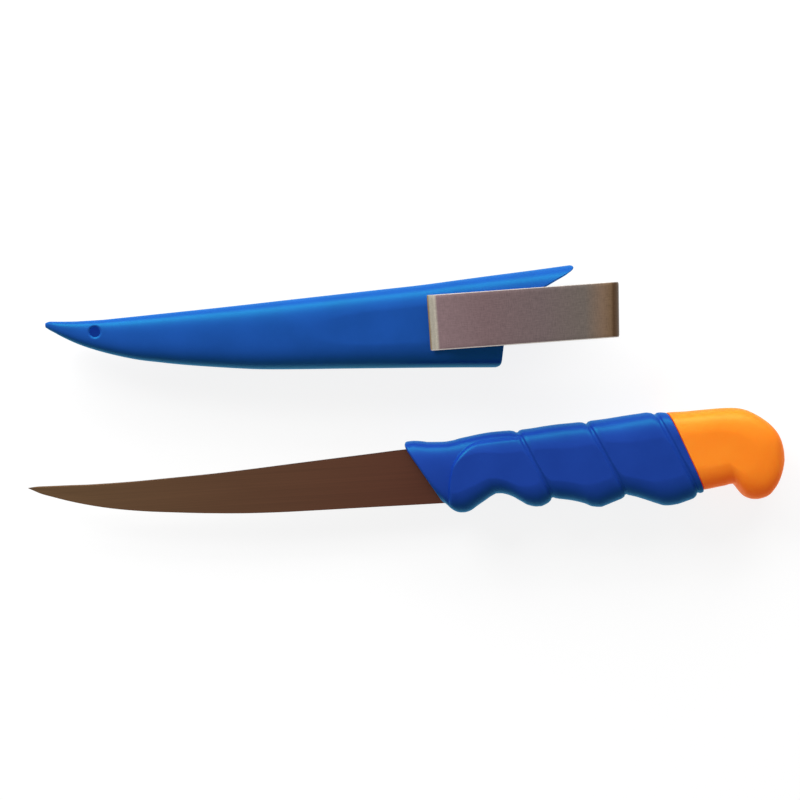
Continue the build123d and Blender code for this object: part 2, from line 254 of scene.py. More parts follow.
# %% Grip outlines and leans
grip_top = outline([
    (130, 8.2), (139.9, 8.5), (141.6, 8.6), (144.2, 8.42), (147.4, 7.97), (150.3, 7.75), (154.7, 7.6),
    (157.7, 7.88), (160.7, 8.52), (163.7, 8.99), (168.2, 9.67), (172.7, 10.1), (177, 10.22),
    (181.5, 10.25), (187.5, 10.6), (192, 11.08), (198, 11.5), (203.9, 11.7), (208.4, 11.98),
    (212.9, 12.25), (217.3, 12.64), (221.8, 13.11), (226.3, 13.5), (230.7, 13.8), (234, 13.7),
    (237.2, 13.3), (242, 13.3), (248, 13.45),
])
grip_low = outline([
    (148, -14.3), (152.6, -14.9), (153.9, -15.35), (154.8, -16.34), (156.2, -17.62), (157.6, -18.47),
    (159.1, -18.89), (160.5, -18.95), (162, -18.68), (163.6, -17.99), (165.1, -17), (168.2, -15.1),
    (171.3, -13.27), (172.8, -12.69), (174.3, -12.73), (175.7, -13), (178.6, -14.17), (181.5, -16.02),
    (184.3, -17.72), (187.3, -18.42), (188.7, -18.42), (190.3, -17.95), (191.8, -17.2), (193.4, -16.4),
    (194.8, -16.1), (199.2, -16.7), (202.1, -17.42), (205.1, -18.39), (207.9, -19.65), (210.9, -20.01),
    (212.4, -19.6), (215.4, -18.58), (218.4, -17.57), (220.5, -16.9), (221.9, -16.6), (223.4, -16.85),
    (225.9, -17.73), (228.8, -18.84), (231.6, -19.97), (234.6, -20.92), (236, -21), (239, -20.74),
    (242, -19.95), (245.1, -18.98), (246.6, -18.2), (248.2, -17.2), (249.7, -16.3), (254, -15.4),
])
nose_line, joint_line = 143.75, 242.4
blunt_nose = 139.85
groove_lines = [186.1, 212.7, 238.85]
lean_at = outline([
    (nose_line, 0.61), (186.1, 0.462), (212.7, 0.475), (238.85, 0.463), (joint_line, 0.395),
])


def leaning_ends(line, slope):
    """Find where a leaning line meets the grip's top and underside."""
    ends = []
    for rim in (grip_low, grip_top):
        y = 0.0
        for _ in range(40):
            y = 0.5 * y + 0.5 * float(rim(line - slope * y))
        ends.append(y)
    return ends


print("grip from", nose_line, "to", joint_line, "mm, grooves at", groove_lines)


# %% [markdown]
# ## The ridge
# The ridge is the step where the raised palm ends and the thin nose begins. It is a line drawn over
# the grip's side, and the mesh is lowered by how far a place lies outside that line: a short gentle
# slope on the palm, which catches the light, and then a quick step down.

# %% Ridge round the palm, as a line over the grip's side
ridge_marks = outline([
    (0, 155.0), (2.3, 155.0), (5.1, 155.1), (9.9, 155.9), (13.7, 156.9), (16.9, 158.7), (20.6, 161.2),
    (24.0, 163.9), (27.2, 167.0), (32.0, 171.3), (36.7, 176.0), (41.5, 180.8), (43.3, 182.6),
])
ridge_rise = outline([
    (0, -15.2), (2.3, -12.9), (5.1, -10.1), (9.9, -5.4), (13.7, -1.7), (16.9, 1.2), (20.6, 3.9),
    (24.0, 5.75), (27.2, 6.75), (32.0, 7.2), (36.7, 7.4), (41.5, 7.75), (43.3, 7.95),
])
ridge_length = 43.3
ridge_shift, slope_width, step_width = 0.2, 1.35, 0.45
slope_drop, step_drop = 0.36, 0.64
walk = np.linspace(0, ridge_length, 90)
ridge = np.concatenate([[[155.2, -40.0]], np.stack([ridge_marks(walk), ridge_rise(walk)], 1)])


def nose_share(x, y, line):
    """Tell how far inside the thin nose a place is: 0 on the palm, 1 on the nose, eased between."""
    a, b = ridge[:-1], ridge[1:]
    place = np.stack([x, y], 1)[:, None, :]
    run = b - a
    t = np.clip(((place - a) * run).sum(2) / (run * run).sum(1), 0, 1)
    distance = np.sqrt((((a + t[..., None] * run) - place) ** 2).sum(2)).min(1)
    height = np.interp(x, ridge[1:, 0], ridge[1:, 1], left=-99)
    outside = np.where(y > height, 1.0, -1.0)
    inward = ridge_shift - outside * distance
    slope = slope_drop * (1 - np.clip(inward / slope_width, 0, 1)) ** 1.25
    share = slope + step_drop * (1 - ease(inward, 0, step_width))
    return share * (1 - ease(line, groove_lines[0] - 0.9, groove_lines[0] - 0.2))


print("ridge points", len(ridge))


# %% [markdown]
# ## The grip's mesh
# Rings stand close together at grooves and over the ridge, where the form changes fast, and wider
# apart between them. The first and last rings shrink a little, which rounds the rims of the moulding.

# %% Grip mesh
nose_thin = 1.8
def groove_depth(line):
    """Give how deep the slanting grooves are at one leaning line."""
    depth = 0.0
    for place in groove_lines:
        away = abs(line - place)
        narrow, wide = float(1 - ease(away, 0.2, 1.15)), float(1 - ease(away, 0.6, 2.6))
        depth = max(depth, 0.52 * narrow + 0.32 * wide)
    return depth


def spread_lines(first, last, pitch, marks=()):
    """Space lines evenly, with closer ones round each mark."""
    lines = list(np.linspace(first, last, int(round((last - first) / pitch)) + 1))
    near = [m + side * 0.18 * k for m in marks for side in (-1, 1) for k in range(10)]
    lines = [v for v in lines if all(abs(v - m) > 1.75 for m in marks)] + near
    return np.unique(np.round([v for v in lines if first <= v <= last], 4))


def grip_rings():
    """Give the grip's rings from its front face to the joint."""
    across, out = full_section(64)
    rings = []
    nose_steps = [nose_line + d for d in (0.0, 0.06, 0.16, 0.3, 0.5, 0.75, 1.05)]
    joint_steps = [joint_line - d for d in (0.45, 0.3, 0.18, 0.08, 0.02)]
    lines = spread_lines(nose_line, joint_line, 0.36, groove_lines)
    lines = np.unique(np.concatenate([lines, spread_lines(nose_line, 183, 0.2)]))
    lines = [v for v in lines if nose_line + 1.15 < v < joint_line - 0.55]
    for line in nose_steps + lines + joint_steps:
        slope = float(lean_at(line))
        low, top = leaning_ends(line, slope)
        groove = groove_depth(line)
        inset = groove
        # Rounded front rim, softer upper corner of the nose, rounded rim at the joint
        front = max(0.0, 1.0 - (line - nose_line))
        inset += 0.8 * (1.0 - sqrt(max(0.0, 1 - front * front)))
        corner = max(0.0, 1.0 - (line - nose_line) / 1.3)
        top -= 0.8 * (1.0 - sqrt(max(0.0, 1 - corner * corner)))
        back = max(0.0, 0.4 - (joint_line - line))
        inset += 0.4 - sqrt(max(0.0, 0.16 - back * back))
        middle, half = (low + top) / 2, (top - low) / 2 - inset
        y = middle + half * across
        x = line - slope * y
        front_x = blunt_nose + (line - nose_line)
        x = np.where(line < nose_line + 8, front_x + np.logaddexp(0, 3 * (x - front_x)) / 3, x)
        thin = nose_thin * nose_share(x, y, line)
        z = out * (grip_half + crown - inset + 0.1 * groove - thin)
        z = np.clip(z, -grip_half, grip_half)
        rings.append((np.stack([x, y, z], 1) + knife_shift) / 1000)
    return rings


rings = grip_rings()
rings = shrink_to_middle(rings[0])[::-1] + rings + shrink_to_middle(rings[-1], 2)
points, faces = join_rings(rings)
grip = piece_from("moulded_grip", points, faces, "knife", sharp=50)
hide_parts("grip")


# %% [markdown]
# ## The butt cap
# The orange cap is a second moulding with a deep hook for the last finger. It meets the grip on a
# leaning joint and closes in a full rounded end. Two rails, its top and its underside, carry the
# rings: the first ring leans with the joint, the last shrinks to a point at the end of the hook.

# %% Butt cap mesh
cap_top = [
    (237.4, 13.3), (239.6, 13.36), (244.1, 13.3), (248.5, 13.46), (253, 13.6), (257.4, 13.7),
    (260.4, 13.64), (263.3, 13.38), (266.3, 12.6), (269.1, 11.2), (272, 9.3), (274.6, 7.1),
    (276.0, 5.55), (277.3, 3.7), (278.5, 0.9), (279.2, -2.4), (279.4, -5.6),
]
cap_low = [
    (248.95, -16.0), (251.2, -15.75), (254.2, -15.3), (257.2, -14.87), (259.3, -14.45), (260.4, -14.5),
    (261.6, -15.75), (262.9, -17.7), (264.3, -19.32), (265.7, -20.1), (267.3, -20.55), (268.9, -20.62),
    (270.4, -20.4), (271.9, -20.0), (273.2, -19.3), (274.7, -17.78), (276.2, -15.78), (277.6, -13.0),
    (278.7, -9.8), (279.3, -7.2), (279.4, -5.6),
]
joint_round = 0.45


def rail(points, shares):
    """Walk along smooth points and stop at each share of the way, marks being matched in order."""
    points = np.array(points, float)
    way = np.concatenate([[0], np.cumsum(np.sqrt((np.diff(points, axis=0) ** 2).sum(1)))])
    way = way / way[-1]
    along, up = (outline(np.stack([way, points[:, k]], 1)) for k in (0, 1))
    return along(shares), up(shares)


def cap_rings():
    """Give the cap's rings from the joint to the end."""
    across, out = full_section(40)
    thick_at = outline([
        (230, 1), (262, 1), (266, 0.985), (270.8, 0.955), (273.4, 0.91), (275.5, 0.85), (277.2, 0.75),
        (278.5, 0.59), (279.2, 0.42), (279.5, 0.2),
    ])
    shares = np.unique(np.concatenate([
        [0, 0.001, 0.0025, 0.0045, 0.007, 0.0095, 0.0115], np.linspace(0.014, 0.97, 150),
        1 - 0.03 * np.linspace(1, 0, 14) ** 2,
    ]))
    top_x, top_y = rail(cap_top, shares)
    low_x, low_y = rail(cap_low, shares)
    rings = []
    for share, tx, ty, lx, ly in zip(shares, top_x, top_y, low_x, low_y):
        inset = joint_round - sqrt(max(0.0, joint_round**2 - max(0.0, joint_round - share * 52) ** 2))
        t = (1 + across) / 2
        x = lx + (tx - lx) * t
        y = ly + (ty - ly) * t
        length = sqrt((tx - lx) ** 2 + (ty - ly) ** 2) + 1e-6
        trim = max(0.0, 1 - 2 * inset / length)
        x = (tx + lx) / 2 + (x - (tx + lx) / 2) * trim
        y = (ty + ly) / 2 + (y - (ty + ly) / 2) * trim
        z = out * ((grip_half + crown) * thick_at((x + (tx + lx) / 2) / 2) - inset)
        z = np.clip(z, -grip_half, grip_half)
        rings.append((np.stack([x, y, z], 1) + knife_shift) / 1000)
    return rings


rings = cap_rings()
rings = shrink_to_middle(rings[0], 2)[::-1] + rings
points, faces = join_rings(rings)
cap = piece_from("hooked_cap", points, faces, "knife", sharp=50)
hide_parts("butt_cap")

# %% [markdown]
# ## The sheath
# The sheath is a thin-walled hollow in two welded halves. Its mouth is not a flat cut: it follows the
# ridge on the grip and runs out into a tongue along the top. Rings that start upright and take on the
# mouth's own curve towards the end give that rim a clean, even, rounded edge on both walls.

# %% Sheath outlines
sheath_top = outline([
    (-15.2, 3.3), (-14.5, 4.35), (-13, 4.85), (-9.3, 4.63), (-1.9, 4.34), (5.5, 4.34), (13, 4.61),
    (27.8, 5.24), (50.1, 6.22), (79.9, 7.72), (109.6, 9.2), (124.5, 9.95), (139.4, 11.03), (150.6, 11.84),
    (165.4, 12.85), (180.3, 13.98), (190, 14.7),
])
sheath_low = outline([
    (-15.2, 3.0), (-14.6, 2.67), (-13.2, 1.67), (-11, 0.31), (-9.6, -0.59), (-2.4, -4.42), (4.8, -7.24),
    (12.1, -9.53), (19.4, -11.38), (26.7, -12.67), (34.1, -13.9), (48.8, -15.85), (63.5, -17.46),
    (78.3, -18.35), (93.1, -19.05), (107.8, -19.79), (122.6, -20.54), (137.4, -21.32), (150, -22.04),
    (160, -22.4),
])
sheath_thick = outline([
    (-14.5, 0.26), (-10, 0.41), (-3.9, 0.49), (6.1, 0.56), (20, 0.65), (40, 0.76), (62, 0.88), (86, 0.98),
    (110, 1), (190, 1),
])
mouth_at = outline([
    (-23, 150.0), (-22.1, 150.8), (-21.6, 151.75), (-20.6, 152.35), (-18, 152.8), (-14.5, 153.4),
    (-8, 154.9), (-3, 156.9), (0.5, 159.8), (3.3, 164.7), (6.06, 169.6), (6.56, 170.6),
    (8.8, 175.0), (11.2, 179.6),
    (12.0, 180.5), (12.8, 180.9), (13.5, 180.75), (14.0, 180.1), (14.4, 179.2),
])
upright_until = 60.0
wall, rim_radius = 1.9, 0.55
hole_at, hole_radius = np.array([4.0, -0.15, 0]), 1.95


def sheath_ring(place, inset, across, out):
    """Give one half ring: place runs from the tip, and past 60 it is 60 plus a share of the mouth."""
    def x_of(y):
        if place <= upright_until:
            return place + 0 * np.asarray(y, float)
        return upright_until + (place - upright_until) * (mouth_at(y) - upright_until)

    ends = []
    for rim in (sheath_low, sheath_top):
        y = float(rim(min(place, 150)))
        for _ in range(40):
            y = 0.5 * y + 0.5 * float(rim(float(x_of(y))))
        ends.append(y)
    low, top = ends
    middle, half = (low + top) / 2, max((top - low) / 2 - inset, 0.05)
    y = middle + half * across
    x = x_of(y)
    thick = (sheath_half + crown) * sheath_thick(x) - inset
    z = np.minimum(out * np.maximum(thick, 0.05), sheath_half - inset * 0.98)
    return x, y, z


print("sheath wall", wall, "mm, upright rings up to", upright_until)


# %% [markdown]
# ## The sheath's two halves
# Each half is one closed skin: out along the outer wall, round the rim of the mouth and back along the
# inner wall. The edges along the joint step in a little, so that the weld line can be seen. The drain
# hole is the only cut, with a soft dimple round it as on a moulded hole.

# %% Sheath meshes, one for each half
def sheath_half_mesh(side):
    """Make the points and faces of one closed half: outer wall, rounded rim, inner wall and joint face."""
    across, out = half_section(40, seam_steps=(0.004, 0.01, 0.02))
    tip = list(-14.45 + 6.0 * np.linspace(0, 1, 16) ** 1.7)
    near_tip = list(np.linspace(-8.2, 12, 68))
    body = list(np.linspace(12.8, upright_until, 60))
    mouth = [upright_until + s for s in np.linspace(0.006, 1, 240)]
    outer = [(p, 0.0) for p in tip + near_tip + body + mouth]
    last = outer[-1][0]
    rim_room, rim_step = 0.0062, rim_radius / 100  # both as shares of the mouth's run
    outer = [(p, i) for p, i in outer if p < last - rim_room]
    arc = [radians(a) for a in (0, 18, 36, 54, 72, 90)]
    outer += [(last - rim_step * (1 - sin(a)), rim_radius * (1 - cos(a))) for a in arc]
    inner = [(last - rim_step * (1 - cos(a)), wall - rim_radius * (1 - sin(a))) for a in arc]
    inner += [(p, wall) for p in mouth[:-3:3][::-1] if p < last - rim_room]
    inner += [(p, wall) for p in (near_tip[8:] + body)[::-1][::2]]
    rows = outer + inner
    rings = []
    for place, inset in rows:
        x, y, z = sheath_ring(place, inset, across, out)
        rings.append(np.stack([x, y, z], 1))
    grid = np.array(rings)
    hole = np.sqrt((grid[..., 0] - hole_at[0]) ** 2 + (grid[..., 1] - hole_at[1]) ** 2)
    soft = np.zeros(hole.shape)
    if side > 0:
        soft[: len(outer)] = 0.5 * (1 - ease(hole[: len(outer)], 1.8, 2.85)) ** 2
    grid[..., 2] = np.maximum(grid[..., 2] - soft, 0)
    seam = 0.16 * np.exp(-((grid[: len(outer), :, 2] / 0.22) ** 2))
    middle = (grid[: len(outer), :1, 1] + grid[: len(outer), -1:, 1]) / 2
    grid[: len(outer), :, 1] -= np.sign(grid[: len(outer), :, 1] - middle) * seam
    grid[..., 2] *= side
    count = grid.shape[1]
    points, faces = join_rings(list((grid + sheath_shift) / 1000), closed=False)
    # Two joint faces along the seam, then the two ends of the skin near the tip
    starts = range(0, len(rows) * count, count)
    faces.append(tuple(starts)[::-1])
    faces.append(tuple(start + count - 1 for start in starts))
    faces.append(tuple(range(count)))
    faces.append(tuple(range(starts[-1], starts[-1] + count))[::-1])
    if side < 0:
        faces = [f[::-1] for f in faces]
    return points, faces


def drill(piece, radius, place):
    """Cut a round hole down through the front wall of a piece and keep the result in its mesh."""
    bit = bpy.data.meshes.new("drill_bit")
    steps = 72
    turn = [2 * pi * k / steps for k in range(steps)]
    ring = [(place[0] + radius * cos(a), place[1] + radius * sin(a)) for a in turn]
    corners = [(x / 1000, y / 1000, height) for height in (0.0115, 0.03) for x, y in ring]
    sides = [(k, (k + 1) % steps, steps + (k + 1) % steps, steps + k) for k in range(steps)]
    bit.from_pydata(corners, [], sides + [tuple(range(steps))[::-1], tuple(range(steps, 2 * steps))])
    tool = bpy.data.objects.new("drill_bit", bit)
    bpy.context.scene.collection.objects.link(tool)
    cut = piece.modifiers.new("drain hole", "BOOLEAN")
    cut.object = tool
    cut.operation = "DIFFERENCE"
    cut.solver = "EXACT"
    graph = bpy.context.evaluated_depsgraph_get()
    mesh = bpy.data.meshes.new_from_object(piece.evaluated_get(graph))
    piece.modifiers.clear()
    piece.data = mesh
    mesh.set_sharp_from_angle(angle=radians(50))
    bpy.data.objects.remove(tool)
    return piece


halves = []
sides = (("sheath_front", 1, "sheath_front_shell"), ("sheath_back", -1, "sheath_back_shell"))
for name, side, node in sides:
    points, faces = sheath_half_mesh(side)
    half = piece_from(name, points, faces, "sheath", sharp=50)
    if side > 0:
        drill(half, hole_radius, sheath_shift + hole_at)
    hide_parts(node)
    halves.append(half)
sheath_front, sheath_back = halves

# %% [markdown]
# ## The belt clip
# The clip is one strip of spring steel, folded double, with a flared lip that lets a belt slide in.
# It is drawn once from the side as a path and widened into a strip with lightly rounded edges. The
# strip crosses the joint between the sheath and its free leaf, and is drawn as one piece that rides on no
# body.

# %% Clip path and mesh
clip_origin = np.array([192.6, -4.0, sheath_half])
clip_turn = radians(0.6)
clip_thick = 0.9
half_thick = clip_thick / 2
bend_middle = 2.3 + half_thick
strip_half, edge_round = 10, 0.22
bend_skew = 0.06


def clip_place(along, across, lift):
    """Turn a place on the strip, seen from its bend, into a place on the sheath's draw line."""
    return (clip_origin[0] + along * cos(clip_turn) - across * sin(clip_turn),
            clip_origin[1] + along * sin(clip_turn) + across * cos(clip_turn),
            clip_origin[2] + lift)


def clip_path():
    """Give the strip's middle line from its end on the sheath, round the bend, to the flared lip."""
    path = [(x, half_thick) for x in np.linspace(-65.6, 0, 60)]
    for a in np.linspace(0, pi, 28)[1:]:
        path.append((bend_middle * sin(a), half_thick + bend_middle * (1 - cos(a))))
    top = half_thick + 2 * bend_middle
    lip, tilt = 2.45, radians(42)
    run = 66.2 - 2.4 * cos(tilt) - lip * sin(tilt)
    path += [(-x, top) for x in np.linspace(0, run, 70)[1:]]
    for a in np.linspace(0, tilt, 9)[1:]:
        path.append((-run - lip * sin(a), top + lip * (1 - cos(a))))
    x, z = path[-1]
    for d in np.linspace(0, 2.0, 5)[1:]:
        path.append((x - d * cos(tilt), z + d * sin(tilt)))
    return np.array(path)


def clip_rings():
    """Sweep the strip's section along its path; also give each point's place on the straight strip."""
    path = clip_path()
    ahead = np.gradient(path, axis=0)
    ahead /= np.sqrt((ahead**2).sum(1))[:, None]
    rings, places = [], []
    for (x, z), (ax, az) in zip(path, ahead):
        ring = []
        for side, face in ((1, 1), (-1, 1), (-1, -1), (1, -1)):
            widths = np.linspace(1, 0, 12, endpoint=False) if side * face > 0 else np.linspace(0, 1, 13)[1:]
            for w in widths:
                half = strip_half * w
                over = max(0, half - (strip_half - edge_round))
                lift = half_thick - (edge_round - sqrt(max(0, edge_round**2 - over**2)))
                ring.append((side * half, face * lift))
        for across, lift in ring:
            px, pz = x - az * lift, z + ax * lift
            places.append((px / 1000, across / 1000, pz / 1000))
            px += bend_skew * across * float(ease(px, -50, 0))
            rings.append(clip_place(px, across, pz))
    count = len(ring)
    rings = np.array(rings).reshape(len(path), count, 3)
    return [(r + sheath_shift) / 1000 for r in rings], np.array(places, np.float32)


rings, strip_places = clip_rings()
points, faces = join_rings(rings)
close_ends(faces, len(rings[0]), len(rings))
clip = piece_from("belt_clip", points, faces, None, sharp=45)
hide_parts("clip_base", "clip_leaf")
rest_place = clip.data.attributes.new("strip_place", "FLOAT_VECTOR", "POINT")
rest_place.data.foreach_set("vector", strip_places.ravel())
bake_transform(clip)

# %% [markdown]
# ## The rivets
# Two rivets hold the inner leaf. They hide under the outer leaf and show only from the side, as low
# domes, so a turned profile is enough.

# %% Rivet mesh
def turned(profile, centre, steps=40):
    """Turn a profile of radius and height about an upright axis."""
    rings = []
    for radius, height in profile:
        turn = [2 * pi * k / steps for k in range(steps)]
        circle = [(radius * cos(a), radius * sin(a), height) for a in turn]
        rings.append([(centre[0] + x, centre[1] + y, centre[2] + z) for x, y, z in circle])
    points, faces = join_rings([np.array(r) / 1000 for r in rings])
    close_ends(faces, steps, len(rings))
    return points, faces


rivet_profile = [(0.2, -2.2), (2.5, -2.2), (2.6, -2.1), (2.6, -1.75), (2.5, -1.62), (1.5, -1.6), (1.5, 0.9),
                 (2.8, 0.92), (2.8, 1.1), (2.6, 1.35), (2.1, 1.58), (1.3, 1.68), (0.2, 1.7)]
rivet_points, rivet_faces = [], []
rivets_along = -56.6
for sideways in (-5.5, 5.5):
    centre = np.array(clip_place(rivets_along, sideways, 0)) + sheath_shift
    points, faces = turned(rivet_profile, centre)
    rivet_faces += [tuple(i + len(rivet_points) for i in f) for f in faces]
    rivet_points += [tuple(p) for p in points]
rivets = piece_from("clip_rivet_pair", rivet_points, rivet_faces, "sheath", sharp=50)
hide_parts("clip_rivets")

# %% [markdown]
# ## Shared surface effects
# Moulded plastic has a fine matt grain from its steel mould, and steel shows the lines of its last
# grinding. Both are used on several pieces, so each is one node group with its own inputs.

# %% Helpers for node groups
def new_group(name, inputs, outputs):
    """Start a shader node group with number or vector inputs and the given outputs."""
    group = bpy.data.node_groups.new(name, "ShaderNodeTree")
    for label, kind, value in inputs:
        socket = group.interface.new_socket(label, in_out="INPUT", socket_type=kind)
        if value is not None:
            socket.default_value = value
    for label, kind in outputs:
        group.interface.new_socket(label, in_out="OUTPUT", socket_type=kind)
    return group, group.nodes.new("NodeGroupInput"), group.nodes.new("NodeGroupOutput")


def add_node(tree, kind, **settings):
    """Add a node and set its properties and the values of its named sockets."""
    node = tree.nodes.new(kind)
    for key, value in settings.items():
        if key in node.inputs:
            node.inputs[key].default_value = value
        else:
            setattr(node, key, value)
    return node


# %% Group: moulded grain
grain, enter, leave = new_group(
    "moulded grain",
    [("Grain Scale", "NodeSocketFloat", 2600.0), ("Cloud Scale", "NodeSocketFloat", 60.0)],
    [("Height", "NodeSocketFloat"), ("Cloud", "NodeSocketFloat"), ("Speckle", "NodeSocketFloat")],
)
place = add_node(grain, "ShaderNodeTexCoord")
fine = add_node(grain, "ShaderNodeTexNoise", Detail=3.0, Roughness=0.6)
pits = add_node(grain, "ShaderNodeTexVoronoi")
cloud = add_node(grain, "ShaderNodeTexNoise", Detail=4.0, Roughness=0.55)
for node in (fine, pits, cloud):
    grain.links.new(place.outputs["Object"], node.inputs["Vector"])
grain.links.new(enter.outputs["Grain Scale"], fine.inputs["Scale"])
grain.links.new(enter.outputs["Grain Scale"], pits.inputs["Scale"])
grain.links.new(enter.outputs["Cloud Scale"], cloud.inputs["Scale"])
both = add_node(grain, "ShaderNodeMath", operation="ADD")
grain.links.new(fine.outputs["Fac"], both.inputs[0])
grain.links.new(pits.outputs["Distance"], both.inputs[1])
grain.links.new(both.outputs[0], leave.inputs["Height"])
grain.links.new(cloud.outputs["Fac"], leave.inputs["Cloud"])
grain.links.new(fine.outputs["Fac"], leave.inputs["Speckle"])
print("group", grain.name, "with", len(grain.nodes), "nodes")

# %% [markdown]
# ## Grinding lines
# Grinding and brushing leave fine parallel lines. Noise that is squeezed a lot in two directions and
# little in the third gives them. The second output runs the other way, for steel brushed crosswise.

# %% Group: grinding lines
lines, enter, leave = new_group(
    "grinding lines",
    [("Place", "NodeSocketVector", None), ("Stretch", "NodeSocketVector", (12.0, 2200.0, 2200.0)),
     ("Cross Stretch", "NodeSocketVector", (2200.0, 12.0, 2200.0))],
    [("Along", "NodeSocketFloat"), ("Across", "NodeSocketFloat")],
)
for label, target in (("Stretch", "Along"), ("Cross Stretch", "Across")):
    scaled = add_node(lines, "ShaderNodeVectorMath", operation="MULTIPLY")
    streaks = add_node(lines, "ShaderNodeTexNoise", Scale=1.0, Detail=4.0, Roughness=0.65)
    lines.links.new(enter.outputs["Place"], scaled.inputs[0])
    lines.links.new(enter.outputs[label], scaled.inputs[1])
    lines.links.new(scaled.outputs[0], streaks.inputs["Vector"])
    lines.links.new(streaks.outputs["Fac"], leave.inputs[target])
print("group", lines.name, "with", len(lines.nodes), "nodes")


# %% [markdown]
# ## Finishes
# Each finish starts from a Principled shader with its own colour. Groups feed its colour, roughness
# and bump. Colours are written as screen numbers, as a colour picker gives them, and were adjusted
# until each piece looked right in this light.

# %% Colour helper and material start
def colour(red, green, blue):
    """Turn screen colour numbers from 0 to 255 into the shader's linear colour."""
    def linear(value):
        value /= 255
        return value / 12.92 if value <= 0.04045 else ((value + 0.055) / 1.055) ** 2.4
    return (linear(red), linear(green), linear(blue), 1.0)


def new_material(name, **settings):
    """Start a material whose Principled shader has these socket values."""
    material = bpy.data.materials.new(name)
    material.use_nodes = True
    shader = material.node_tree.nodes["Principled BSDF"]
    for key, value in settings.items():
        shader.inputs[key.replace("_", " ")].default_value = value
    return material, material.node_tree, shader


def add_group(tree, group, **values):
    """Place a node group and set its inputs."""
    node = add_node(tree, "ShaderNodeGroup", node_tree=group)
    for key, value in values.items():
        node.inputs[key.replace("_", " ")].default_value = value
    return node


def two_colours(tree, mask, low, high, low_at=0.35, high_at=0.65):
    """Mix two colours by a mask through a soft ramp."""
    ramp = add_node(tree, "ShaderNodeValToRGB")
    ramp.color_ramp.elements[0].position = low_at
    ramp.color_ramp.elements[1].position = high_at
    ramp.color_ramp.elements[0].color = low
    ramp.color_ramp.elements[1].color = high
    tree.links.new(mask, ramp.inputs["Fac"])
    return ramp.outputs["Color"]


def map_range(tree, value, low, high, from_low=0.0, from_high=1.0):
    """Rescale a number."""
    node = add_node(tree, "ShaderNodeMapRange")
    node.inputs["From Min"].default_value = from_low
    node.inputs["From Max"].default_value = from_high
    node.inputs["To Min"].default_value = low
    node.inputs["To Max"].default_value = high
    tree.links.new(value, node.inputs["Value"])
    return node.outputs["Result"]


def bump(tree, shader, height, strength, distance):
    """Feed a height into the shader's normal."""
    node = add_node(tree, "ShaderNodeBump", Strength=strength, Distance=distance)
    tree.links.new(height, node.inputs["Height"])
    tree.links.new(node.outputs["Normal"], shader.inputs["Normal"])


print("middle grey is", round(colour(128, 128, 128)[0], 4))


# %% [markdown]
# ## Moulded plastics
# Dyed plastic looks deeper where it turns away, because light goes further through it. A clear coat
# with a low index and a tint of its own does that without any change of the base colour. The hollow
# side of the sheath and the cap also get a painted glow, a weak emission in their own colour that
# lightens them where the lamps leave them in shade. The cap lets light in deeper, so it has some subsurface
# scattering.

# %% Moulded plastics
def plastic(name, low, high, depth_tint, gloss_tint, gloss=0.42, painted_glow=None):
    """Make a fine-grained moulded plastic whose clear skin deepens its colour where it turns away."""
    material, tree, shader = new_material(
        name, Specular_IOR_Level=gloss, Specular_Tint=gloss_tint,
        Coat_Weight=1.0, Coat_IOR=1.05, Coat_Roughness=0.45, Coat_Tint=depth_tint)
    surface = add_group(tree, grain)
    tree.links.new(two_colours(tree, surface.outputs["Cloud"], low, high), shader.inputs["Base Color"])
    tree.links.new(map_range(tree, surface.outputs["Speckle"], 0.34, 0.48), shader.inputs["Roughness"])
    bump(tree, shader, surface.outputs["Height"], 0.35, 0.00003)
    # Painted glow: a constant emission in the plastic's own colour that lightens it like light, though it
    # is no lamp
    if painted_glow:
        shader.inputs["Emission Color"].default_value = painted_glow
        shader.inputs["Emission Strength"].default_value = 1.0
    return material


sea_gloss = (0.0, 1.0, 0.75, 1.0)
sea_depth = (0.42, 0.9, 1.0, 1.0)
blue_grip = plastic("blue grip plastic", colour(48, 54, 148), colour(52, 60, 156), sea_depth, sea_gloss)
blue_sheath = plastic("blue sheath plastic", colour(43, 69, 150), colour(47, 75, 160), sea_depth, sea_gloss)
# The inside copy is a touch darker and carries a painted blue glow that lightens the hollow
blue_inside = plastic("blue sheath inside", colour(43, 64, 146), colour(47, 70, 154), sea_depth, sea_gloss,
                      painted_glow=(0.012, 0.03, 0.16, 1))
sun_gloss = (1.0, 0.95, 0.4, 1.0)
sun_depth = (1.0, 0.86, 0.62, 1.0)
# The cap's painted glow is a red emission that lightens its shaded sides and hook
orange_cap = plastic("orange cap plastic", colour(212, 148, 44), colour(216, 156, 52), sun_depth, sun_gloss,
                     gloss=0.45, painted_glow=(0.36, 0.012, 0.0, 1))
cap_shader = orange_cap.node_tree.nodes["Principled BSDF"]
cap_shader.inputs["Subsurface Weight"].default_value = 0.45
cap_shader.inputs["Subsurface Radius"].default_value = (1.0, 0.22, 0.06)
cap_shader.inputs["Subsurface Scale"].default_value = 0.006
print("plastics", [m.name for m in (blue_grip, blue_sheath, blue_inside, orange_cap)])


# %% [markdown]
# ## Blade steel
# Bare steel mostly shows what stands round it, and this blade is seen in brown. The scene is white, so
# the brown is painted into the steel's colour as a painted reflection, a little greener at the tip and
# redder at the grip. Fine lines from the grinding run along the blade and change its colour, roughness and
# height together.

# %% Blade steel
def streak_over(tree, shader, base, mask, shades, factor, roughness, relief):
    """Multiply streaks over a colour; the same mask sets roughness and, with the relief, the bump."""
    streak = add_node(tree, "ShaderNodeMix", data_type="RGBA", blend_type="MULTIPLY")
    streak.inputs["Factor"].default_value = factor
    tree.links.new(base, streak.inputs["A"])
    tree.links.new(two_colours(tree, mask, *shades), streak.inputs["B"])
    tree.links.new(streak.outputs["Result"], shader.inputs["Base Color"])
    tree.links.new(map_range(tree, mask, *roughness), shader.inputs["Roughness"])
    bump(tree, shader, mask, *relief)


